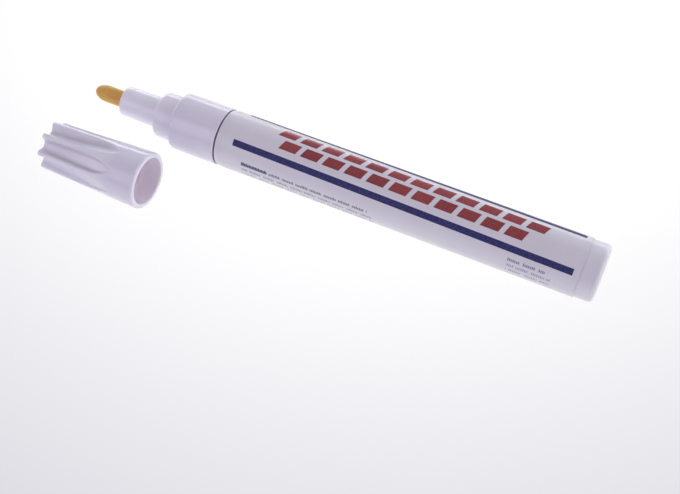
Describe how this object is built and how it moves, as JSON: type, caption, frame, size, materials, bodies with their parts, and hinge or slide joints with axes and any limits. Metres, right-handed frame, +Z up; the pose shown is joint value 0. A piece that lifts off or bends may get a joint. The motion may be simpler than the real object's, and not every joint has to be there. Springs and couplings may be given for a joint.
{
  "type": "grout marker",
  "caption": "Valve-fed paint marker for tile grout: a white labelled barrel, a stepped nozzle with a bullet nib on a sprung valve, and a fluted push-on cap lying beside it.",
  "frame": {"origin": "centre of the bounding box on the surface that the marker and its cap lie on", "axes": "+X along the marker from the nib to the closed rear end, +Z up, the cap on the -Y side"},
  "size_m": [0.1368, 0.0342, 0.0145],
  "materials": {
    "can_coat": "satin",
    "label_film": "gloss",
    "white_plastic": "gloss",
    "liner_plastic": "satin",
    "valve_plastic": "satin",
    "seal_rubber": "matte",
    "nib_fibre": "matte",
    "spring_steel": "satin",
    "ball_steel": "polished"
  },
  "bodies": {
    "marker": {"barrel": "can_coat", "label_wrap": "label_film", "front_section": "white_plastic", "section_seal": "seal_rubber", "valve_seat": "seal_rubber", "valve_body": "valve_plastic", "valve_end_cap": "valve_plastic", "valve_spring": "spring_steel"},
    "nib": {"nib": "nib_fibre"},
    "valve_stem": {"valve_stem": "valve_plastic"},
    "mixing_ball": {"mixing_ball": "ball_steel"},
    "cap": {"cap_shell": "white_plastic", "cap_liner": "liner_plastic"}
  },
  "joints": [
    {"name": "nib_press", "type": "slide", "parent": "marker", "child": "nib", "axis": [1, 0, 0], "range_m": [0, 0.0022], "stiffness_N_per_m": 500, "deforming": ["valve_spring"]},
    {"name": "stem_lift", "type": "slide", "parent": "marker", "child": "valve_stem", "axis": [1, 0, 0], "range_m": [0, 0.0022]},
    {"name": "ball_roll", "type": "slide", "parent": "marker", "child": "mixing_ball", "axis": [1, 0, 0], "range_m": [-0.04595, 0.03545]},
    {"name": "cap_slide", "type": "slide", "parent": "marker", "child": "cap", "axis": [-0.9443, 0.3291, 0], "range_m": [0, 0.05986]}
  ],
  "couplings": [
    {"joint": "stem_lift", "follows": "nib_press", "ratio": 1}
  ]
}
